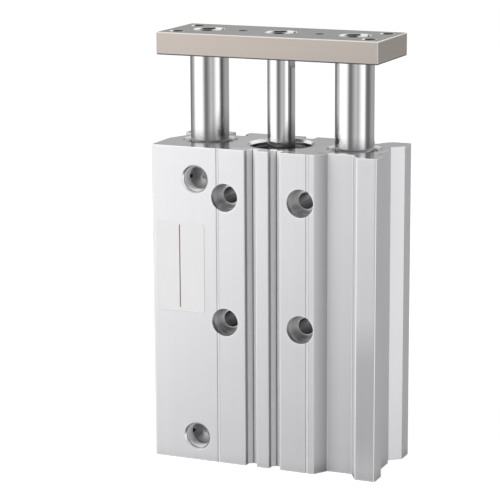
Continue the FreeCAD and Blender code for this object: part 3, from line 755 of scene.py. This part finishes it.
def porous(name, dark, light, pit, rough_low, rough_high, metallic, per_metre=2600.0):
    """Pressed powder: small open pores in a dull ground."""
    material, tree, shader = start_material(name)
    place = object_place(tree)
    pits = use_effect(tree, PORES, Place=place, Pores_per_Metre=per_metre, Pit_Size=0.3)["Pit"]
    grain = use_effect(tree, CLOUDS, Place=place, Patches=300.0, Speckle=9000.0)["Grain"]
    shade = blend(tree, pits, blend(tree, grain, dark, light), pit)
    rough = spread(tree, grain, 0.0, 1.0, rough_low, rough_high)
    normal = bumps(tree, off(tree, product(tree, grain, 0.3), pits), 0.02 * MM, 0.8)
    feed(tree, shader, colour=shade, metallic=metallic, roughness=rough, normal=normal)
    return material


def oiled_felt():
    """Pressed felt: matted fibres lying every way."""
    material, tree, shader = start_material("oiled felt")
    inputs = {"Vector": object_place(tree), "Scale": 2400.0, "Detail": 5.0, "Roughness": 0.7, "Distortion": 2.5}
    matted = join(tree, "ShaderNodeTexNoise", inputs).outputs[0]
    fibres = spread(tree, matted, 0.35, 0.65, 0.0, 1.0)
    shade = blend(tree, fibres, (0.24, 0.225, 0.19), (0.52, 0.50, 0.44))
    normal = bumps(tree, fibres, 0.08 * MM, 0.9)
    feed(tree, shader, colour=shade, metallic=0.0, roughness=0.92, normal=normal, sheen=0.3)
    return material


def blank_label():
    """Sticker: smooth pale film with one thin dark red line down it."""
    material, tree, shader = start_material("blank pale sticker")
    place = object_place(tree)
    x, _, z = parts_of(tree, place)
    low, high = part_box("name_label")
    off_line = unsigned(tree, off(tree, x, low.x + 8.75 * MM))
    off_middle = unsigned(tree, off(tree, z, (low.z + high.z) / 2 + 0.3 * MM))
    reach = (high.z - low.z) / 2 - 1.2 * MM
    across = spread(tree, off_line, 0.13 * MM, 0.24 * MM, 1.0, 0.0)
    along = spread(tree, off_middle, reach, reach + 0.08 * MM, 1.0, 0.0)
    line = product(tree, across, along)
    clouds = use_effect(tree, CLOUDS, Place=place, Patches=140.0, Speckle=5200.0)
    film = blend(tree, clouds["Grain"], (0.80, 0.795, 0.795), (0.83, 0.825, 0.825))
    ink = blend(tree, clouds["Grain"], (0.13, 0.035, 0.04), (0.18, 0.05, 0.055))
    shade = blend(tree, line, film, ink)
    rough = spread(tree, clouds["Cloud"], 0.0, 1.0, 0.36, 0.44)
    normal = bumps(tree, total(tree, clouds["Grain"], line), 0.003 * MM, 0.6)
    feed(tree, shader, colour=shade, metallic=0.0, roughness=rough, normal=normal, specular=0.4)
    return material


def bolt_finish():
    """Bolts: bright nickel, turned top, and a fine straight knurl round the head's wall; their colour is painted light
    and shade: near-black painted shade, painted glints across and round the head, painted crevice shade and a painted
    highlight on the head's outer edge.
    """
    material, tree, shader = start_material("bright bolt")
    place = object_place(tree)
    x = parts_of(tree, place)[0]
    upward = above(tree, facing_of(tree, "True Normal")[2], 0.9)
    axis = product(tree, above(tree, unsigned(tree, x), 10 * MM), GUIDE_X)
    across = off(tree, x, product(tree, axis, reckon(tree, "SIGN", x)))
    away = unsigned(tree, across)
    rings = use_effect(tree, RINGS, Place=place, Axis_X=axis, Rings_per_Metre=7000.0)
    clouds = use_effect(tree, CLOUDS, Place=place, Patches=300.0, Speckle=8000.0)
    edges = use_effect(tree, EDGES, Radius=0.25 * MM, Start=0.04, End=0.35)
    unshaded = use_effect(tree, CREVICE_SHADE, Reach=3 * MM, Depth=0.97)["Open"]
    teeth = reckon(tree, "SINE", product(tree, rings["Angle"], 60.0))
    at_wall = above(tree, rings["Radius"], 4.85 * MM)
    relief = total(tree, rings["Ring"], product(tree, teeth, at_wall, 8.0))

    # Painted glints: a wavy band across the head, a little fainter on its top, and a ring near its edge.
    wavy = total(tree, across, product(tree, off(tree, rings["Ring"], 0.5), 2.4 * MM))
    left_end = spread(tree, wavy, -0.5 * MM, 0.1 * MM, 0.0, 1.0)
    band = product(tree, left_end, spread(tree, wavy, 2.9 * MM, 3.4 * MM, 1.0, 0.0))
    head_top = product(tree, upward, above(tree, rings["Radius"], 2.6 * MM))
    gleam = product(tree, band, off(tree, 1.0, upward))
    gleam = mixed(tree, head_top, gleam, product(tree, band, 0.85))
    gleam = largest(tree, gleam, spread(tree, away, 4.0 * MM, 4.3 * MM, 0.0, 1.0))
    # Painted shade: the head's top mid grey, the rest near black, under the glints; then painted crevice shade.
    top_shade = blend(tree, clouds["Cloud"], (0.34, 0.34, 0.33), (0.50, 0.50, 0.485))
    shade = blend(tree, clouds["Cloud"], (0.07, 0.07, 0.068), (0.13, 0.13, 0.125))
    shade = blend(tree, head_top, shade, top_shade)
    shade = blend(tree, gleam, shade, (0.97, 0.96, 0.94))
    shade = dimmed(tree, shade, largest(tree, unshaded, gleam))
    # Painted highlight on the head's outer edge.
    rim = product(tree, edges["Edge"], spread(tree, away, 3.4 * MM, 4.2 * MM, 0.0, 1.0))
    shade = blend(tree, rim, shade, (0.96, 0.95, 0.93))
    rough = spread(tree, rings["Ring"], 0.3, 0.7, 0.14, 0.24)
    metal = mixed(tree, gleam, 1.0, 0.45)
    normal = bumps(tree, relief, 0.003 * MM, 1.0, edges["Normal"])
    feed(tree, shader, colour=shade, metallic=metal, roughness=rough, normal=normal)
    return material


def paint_everything():
    """Gives every node its finish, and hands back the two that the threads take."""
    anodised = anodised_aluminium()
    nickel = nickel_plating()
    rubber = moulded("black nitrile rubber", (0.018, 0.018, 0.018), (0.035, 0.035, 0.034), 0.42, 0.6, 0.012)
    spring = treated_steel("phosphated spring steel", (0.075, 0.07, 0.065), (0.16, 0.15, 0.14), 0.35, 0.55, 0.9)
    bronze = porous("sintered bronze", (0.46, 0.33, 0.16), (0.6, 0.45, 0.24), (0.16, 0.1, 0.05), 0.3, 0.45, 0.9)
    amber = moulded("amber urethane", (0.62, 0.46, 0.2), (0.74, 0.58, 0.3), 0.3, 0.45, 0.008, subsurface=0.25)
    plug = treated_steel("zinc plated plug", (0.4, 0.4, 0.4), (0.56, 0.55, 0.52), 0.25, 0.4, 1.0, 180.0)
    magnet_shades = ((0.05, 0.047, 0.047), (0.1, 0.09, 0.088), (0.02, 0.02, 0.02))
    aluminium = (grey(0.64), grey(0.78))
    bolt = bolt_finish()
    finishes = {
        "cylinder_body": anodised,
        "end_plate": nickel,
        "name_label": blank_label(),
        # The collar is near black: a painted shade for the dark mouth of the bore round the piston rod.
        "collar": turned_metal("collar darkened as painted shade", grey(0.035, 0.002), grey(0.06, 0.003), 0.3, 0.45, 0.7),
        "rear_cover": turned_metal("chromated cover", *aluminium, 0.22, 0.36),
        "piston": turned_metal("turned piston", *aluminium, 0.2, 0.34),
        "piston_nut": treated_steel("plated nut", (0.42, 0.41, 0.39), (0.58, 0.57, 0.54), 0.25, 0.38, 1.0),
        "piston_wear_ring": moulded("dark wear plastic", grey(0.07, 0.005), grey(0.12), 0.35, 0.5, 0.006),
        "piston_magnet": porous("bonded magnet", *magnet_shades, 0.5, 0.65, 0.3, 3200.0),
        "piston_rod": hard_chrome("ground chrome piston rod", 0.0),
        "rod_bushing": bronze,
        "rod_seal": rubber,
        "piston_seal": rubber,
        "collar_o_ring": rubber,
        "rear_cover_o_ring": rubber,
        "collar_snap_ring": spring,
        "rear_snap_ring": spring,
        "front_bumper": amber,
        "rear_bumper": amber,
        "upper_side_plug": plug,
        "lower_side_plug": plug,
        "piston_rod_bolt": bolt,
    }
    paired = {
        "guide_rod": hard_chrome("ground chrome guide rod", GUIDE_X),
        "guide_rod_bolt": bolt,
        "front_bushing": bronze,
        "rear_bushing": bronze,
        "felt_wiper": oiled_felt(),
        # Near white: the steel's own colour raised by a painted highlight, for a bright crescent round each guide rod's
        # foot.
        "wiper_holder": treated_steel("pressed steel holder", (0.78, 0.78, 0.78), (0.90, 0.90, 0.89), 0.25, 0.38, 0.8),
        "guide_snap_ring": treated_steel("spring steel with painted highlight", (0.84, 0.84, 0.84), (0.95, 0.95, 0.94), 0.2, 0.32, 0.7),
    }
    for side in ("left", "right"):
        finishes.update({f"{side}_{piece}": finish for piece, finish in paired.items()})
    for name, node in NODES.items():
        for slot in node.material_slots:
            slot.material = finishes[name]
    return anodised, nickel


BLOCK_FINISH, PLATE_FINISH = paint_everything()


# Screw threads in the tapped holes


def put_in_scene(name, data):
    thing = bpy.data.objects.new(name, data)
    bpy.context.collection.objects.link(thing)
    return thing


def make_thread_tree():
    """Geometry nodes: a screw thread's ridge in each hole of the mesh's points, running inwards from its mouth."""
    tree = bpy.data.node_groups.new("screw thread in holes", "GeometryNodeTree")
    wanted = [
        ("Hole Radius", "NodeSocketFloat"),
        ("Pitch", "NodeSocketFloat"),
        ("Turns", "NodeSocketFloat"),
        ("Ridge", "NodeSocketFloat"),
        ("Turn", "NodeSocketVector"),
        ("Finish", "NodeSocketMaterial"),
    ]
    tree.interface.new_socket(name="Geometry", in_out="INPUT", socket_type="NodeSocketGeometry")
    for label, kind in wanted:
        tree.interface.new_socket(name=label, in_out="INPUT", socket_type=kind)
    tree.interface.new_socket(name="Geometry", in_out="OUTPUT", socket_type="NodeSocketGeometry")
    taken = tree.nodes.new("NodeGroupInput").outputs
    coil = {
        "Resolution": 40,
        "Rotations": taken["Turns"],
        "Start Radius": taken["Hole Radius"],
        "End Radius": taken["Hole Radius"],
        "Height": product(tree, taken["Turns"], taken["Pitch"]),
    }
    spiral = join(tree, "GeometryNodeCurveSpiral", coil).outputs[0]
    upright = join(tree, "GeometryNodeSetCurveNormal", {"Curve": spiral}, mode="Z_UP").outputs[0]
    ridge = join(tree, "GeometryNodeCurvePrimitiveCircle", {"Resolution": 4, "Radius": taken["Ridge"]}).outputs[0]
    sweep = {"Curve": upright, "Profile Curve": ridge, "Fill Caps": True}
    swept = join(tree, "GeometryNodeCurveToMesh", sweep).outputs[0]
    mouths = {"Points": taken["Geometry"], "Instance": swept, "Rotation": taken["Turn"]}
    placed = join(tree, "GeometryNodeInstanceOnPoints", mouths).outputs[0]
    real = join(tree, "GeometryNodeRealizeInstances", {"Geometry": placed}).outputs[0]
    finished = join(tree, "GeometryNodeSetMaterial", {"Geometry": real, "Material": taken["Finish"]}).outputs[0]
    join(tree, "NodeGroupOutput", {"Geometry": finished})
    return tree


THREAD = make_thread_tree()


def cut_thread(name, mouths, size, turn, finish, body):
    """Threads of one size in one body, as one plain mesh."""
    seed = bpy.data.meshes.new(name + "_mouths")
    seed.from_pydata(mouths, [], [])
    carrier = put_in_scene(name + "_mouths", seed)
    modifier = carrier.modifiers.new("thread", "NODES")
    modifier.node_group = THREAD
    values = dict(zip(("Hole Radius", "Pitch", "Turns", "Ridge"), size))
    values.update({"Turn": turn, "Finish": finish})
    for item in THREAD.interface.items_tree:
        if item.in_out == "INPUT" and item.name in values:
            modifier[item.identifier] = values[item.name]
    carrier.update_tag()
    graph = bpy.context.evaluated_depsgraph_get()
    mesh = bpy.data.meshes.new_from_object(carrier.evaluated_get(graph))
    carrier.modifiers.remove(modifier)
    bpy.data.objects.remove(carrier)
    bpy.data.meshes.remove(seed)
    mesh.name = name
    ridge_piece = put_in_scene(name, mesh)
    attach(ridge_piece, body)


def thread_all_holes():
    """Threads in the front ports, the rear taps and the end plate's corner taps."""
    # Each size is the ridge's radius, pitch, number of turns and height.
    port_size = (4.4 * MM, 0.907 * MM, 5.2, 0.26 * MM)
    rear_size = (2.1 * MM, 0.8 * MM, 12.5, 0.2 * MM)
    plate_size = (2.1 * MM, 0.8 * MM, 7.5, 0.2 * MM)
    block_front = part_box("cylinder_body")[0].y
    plate_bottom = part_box("end_plate")[0].z
    tap_x, tap_y = tap_places()
    ports = [(PORT_X, block_front + 1.0 * MM, z) for z in PORT_ROWS]
    rear = [(x * MM, y * MM, 0.9 * MM) for x in (-13.5, 13.5) for y in (-12.5, 12.5)]
    taps = [(i * tap_x, j * tap_y, plate_bottom + 0.9 * MM) for i in (-1, 1) for j in (-1, 1)]
    inwards = (-math.pi / 2, 0.0, 0.0)
    up = (0.0, 0.0, 0.0)
    cut_thread("port_threads", ports, port_size, inwards, BLOCK_FINISH, CYLINDER)
    cut_thread("rear_tap_threads", rear, rear_size, up, BLOCK_FINISH, CYLINDER)
    cut_thread("plate_tap_threads", taps, plate_size, up, PLATE_FINISH, MOVING)


thread_all_holes()


# Camera, as fitted to the photo

CAMERA_AZIMUTH = math.radians(23.5044)
CAMERA_ELEVATION = math.radians(12.2831)
CAMERA_ROLL = math.radians(-0.27333)
CAMERA_LENS = 154.8068
CAMERA_PLACE = Vector((0.2826155, -0.6774544, 0.2342429))


def place_camera():
    azimuth, elevation, roll = CAMERA_AZIMUTH, CAMERA_ELEVATION, CAMERA_ROLL
    level = Vector((math.cos(azimuth), math.sin(azimuth), 0.0))
    back = Vector(
        (math.sin(azimuth) * math.cos(elevation), -math.cos(azimuth) * math.cos(elevation), math.sin(elevation))
    )
    over = back.cross(level)
    right = math.cos(roll) * level + math.sin(roll) * over
    upward = back.cross(right)
    turn = Matrix((right, upward, back)).transposed()
    data = bpy.data.cameras.new("photo camera")
    data.lens = CAMERA_LENS
    data.sensor_width = 36.0
    data.clip_start = 0.02
    data.clip_end = 50.0
    camera = put_in_scene("photo camera", data)
    camera.matrix_world = Matrix.Translation(CAMERA_PLACE) @ turn.to_4x4()
    bpy.context.scene.camera = camera


place_camera()


# Studio: floor, world, lamps and the screen that polished metal reflects

FLOOR_REACH = 12.0


def background_rays(tree):
    """1 for what the camera, metal and glass see; 0 for what lights the object."""
    path = join(tree, "ShaderNodeLightPath").outputs
    return largest(tree, path["Is Camera Ray"], path["Is Glossy Ray"], path["Is Transmission Ray"])


def lay_floor():
    """White floor that keeps a soft shadow."""
    corners = [(x * FLOOR_REACH, y * FLOOR_REACH, 0) for x, y in ((-1, -1), (1, -1), (1, 1), (-1, 1))]
    mesh = bpy.data.meshes.new("floor")
    mesh.from_pydata(corners, [], [(0, 1, 2, 3)])
    floor = put_in_scene("floor", mesh)
    material, tree = blank_material("white studio floor")
    matt = join(tree, "ShaderNodeBsdfDiffuse", {"Color": (0.5, 0.5, 0.5)}).outputs[0]
    glow = join(tree, "ShaderNodeEmission", {"Color": WHITE, "Strength": 0.82}).outputs[0]
    lit = join(tree, "ShaderNodeAddShader", {0: matt, 1: glow}).outputs[0]
    plain = join(tree, "ShaderNodeBsdfDiffuse", {"Color": (0.8, 0.8, 0.8)}).outputs[0]
    chosen = join(tree, "ShaderNodeMixShader", {0: background_rays(tree), 1: plain, 2: lit}).outputs[0]
    join(tree, "ShaderNodeOutputMaterial", {"Surface": chosen})
    mesh.materials.append(material)
    floor.visible_glossy = False


def light_world():
    """Even light on the object, and white behind it."""
    world = bpy.data.worlds.new("studio")
    bpy.context.scene.world = world
    world.use_nodes = True
    tree = world.node_tree
    tree.nodes.clear()
    even = join(tree, "ShaderNodeBackground", {"Color": WHITE, "Strength": 0.38}).outputs[0]
    white = join(tree, "ShaderNodeBackground", {"Color": WHITE, "Strength": 1.0}).outputs[0]
    chosen = join(tree, "ShaderNodeMixShader", {0: background_rays(tree), 1: even, 2: white}).outputs[0]
    join(tree, "ShaderNodeOutputWorld", {"Surface": chosen})


# Brightness of the screen round the object, by the angle from the camera's side, in degrees.
SCREEN = [
    (-180, 0.50), (-152, 0.30), (-139, 0.20), (-122, 0.38), (-108, 0.52), (-100, 1.00), (-94, 1.22), (-52, 1.22),
    (-46, 1.05), (-38, 0.55), (-29, 0.19), (-20, 0.19), (-10, 0.33), (0, 0.52), (7, 0.60), (15, 0.50), (22, 0.52),
    (33, 0.95), (40, 1.18), (56, 1.18), (61, 0.62), (66, 0.29), (73, 0.17), (84, 0.15), (96, 0.26), (106, 0.38),
    (124, 0.40), (135, 0.34), (152, 0.42), (180, 0.45),
]
# The screen's brightness by height in metres, as a share.
SCREEN_HEIGHTS = [(-0.40, 0.2), (-0.22, 0.6), (-0.13, 0.89), (-0.02, 0.985), (0.06, 1.0), (0.60, 1.0)]
# The heights of the screen's rows of points.
SCREEN_ROWS = [
    -0.40, -0.22, -0.17, -0.13, -0.08, -0.02, 0.02, 0.06, 0.11, 0.16, 0.20, 0.24, 0.265, 0.29, 0.31, 0.45, 0.60
]
SCREEN_RADIUS = 0.42
SCREEN_STEPS = 240
# Between these heights the bands give way to the open top's even brightness.
SCREEN_TOP_START, SCREEN_TOP_END = 0.265, 0.31
SCREEN_OPEN_TOP = 1.15
# Below this height the bands lean round the object, in degrees for each metre down.
SCREEN_SWING_TOP = 0.02
SCREEN_SWING = 100.0


def between(table, at):
    """Straight-line value of a table of pairs."""
    for (a, low), (b, high) in zip(table, table[1:]):
        if at <= b:
            return low + (high - low) * (at - a) / (b - a)
    return table[-1][1]


def screen_mesh():
    """The screen as rows of points with their brightness, closed at the bottom."""
    points, shades, faces = [], [], []
    for height in SCREEN_ROWS:
        swing = SCREEN_SWING * max(0.0, SCREEN_SWING_TOP - height)
        share = between(SCREEN_HEIGHTS, height)
        rise = min(1.0, max(0.0, (height - SCREEN_TOP_START) / (SCREEN_TOP_END - SCREEN_TOP_START)))
        for i in range(SCREEN_STEPS):
            turn = -180 + 360 * i / SCREEN_STEPS
            angle = CAMERA_AZIMUTH + math.radians(turn)
            points.append((SCREEN_RADIUS * math.sin(angle), -SCREEN_RADIUS * math.cos(angle), height))
            band = between(SCREEN, min(180.0, turn + swing)) * share
            shades.append(band + (SCREEN_OPEN_TOP - band) * rise)
    for start in range(0, len(points) - SCREEN_STEPS, SCREEN_STEPS):
        for i in range(SCREEN_STEPS):
            a, b = start + i, start + (i + 1) % SCREEN_STEPS
            faces.append((b, a, a + SCREEN_STEPS, b + SCREEN_STEPS))
    faces.append(tuple(range(SCREEN_STEPS)))
    mesh = bpy.data.meshes.new("reflection_screen")
    mesh.from_pydata(points, [], faces)
    mesh.attributes.new("shade", "FLOAT", "POINT").data.foreach_set("value", shades)
    return mesh


def hang_screen():
    """An upright screen round the object with soft grey bands, seen only in reflections."""
    mesh = screen_mesh()
    screen = put_in_scene("reflection_screen", mesh)
    material, tree = blank_material("banded screen")
    level = join(tree, "ShaderNodeAttribute", attribute_name="shade").outputs["Fac"]
    glow = join(tree, "ShaderNodeEmission", {"Color": WHITE, "Strength": level}).outputs[0]
    join(tree, "ShaderNodeOutputMaterial", {"Surface": glow})
    mesh.materials.append(material)
    screen.visible_camera = False
    screen.visible_diffuse = False
    screen.visible_shadow = False
    screen.visible_transmission = False
    screen.visible_volume_scatter = False


def hang_lamp(name, place, aim, size, power):
    """A square lamp that metal doesn't reflect."""
    data = bpy.data.lights.new(name, "AREA")
    data.shape = "RECTANGLE"
    data.size = data.size_y = size
    data.energy = power
    lamp = put_in_scene(name, data)
    lamp.location = place
    lamp.rotation_euler = (Vector(aim) - Vector(place)).to_track_quat("-Z", "Y").to_euler()
    lamp.visible_glossy = False


lay_floor()
light_world()
hang_screen()
hang_lamp("key", (-0.35, -0.42, 0.55), (0, 0, 0.06), 0.35, 3.7)
hang_lamp("fill", (0.7, -0.4, 0.4), (0, 0, 0.08), 0.5, 0.6)

bpy.context.scene.view_settings.view_transform = "Standard"
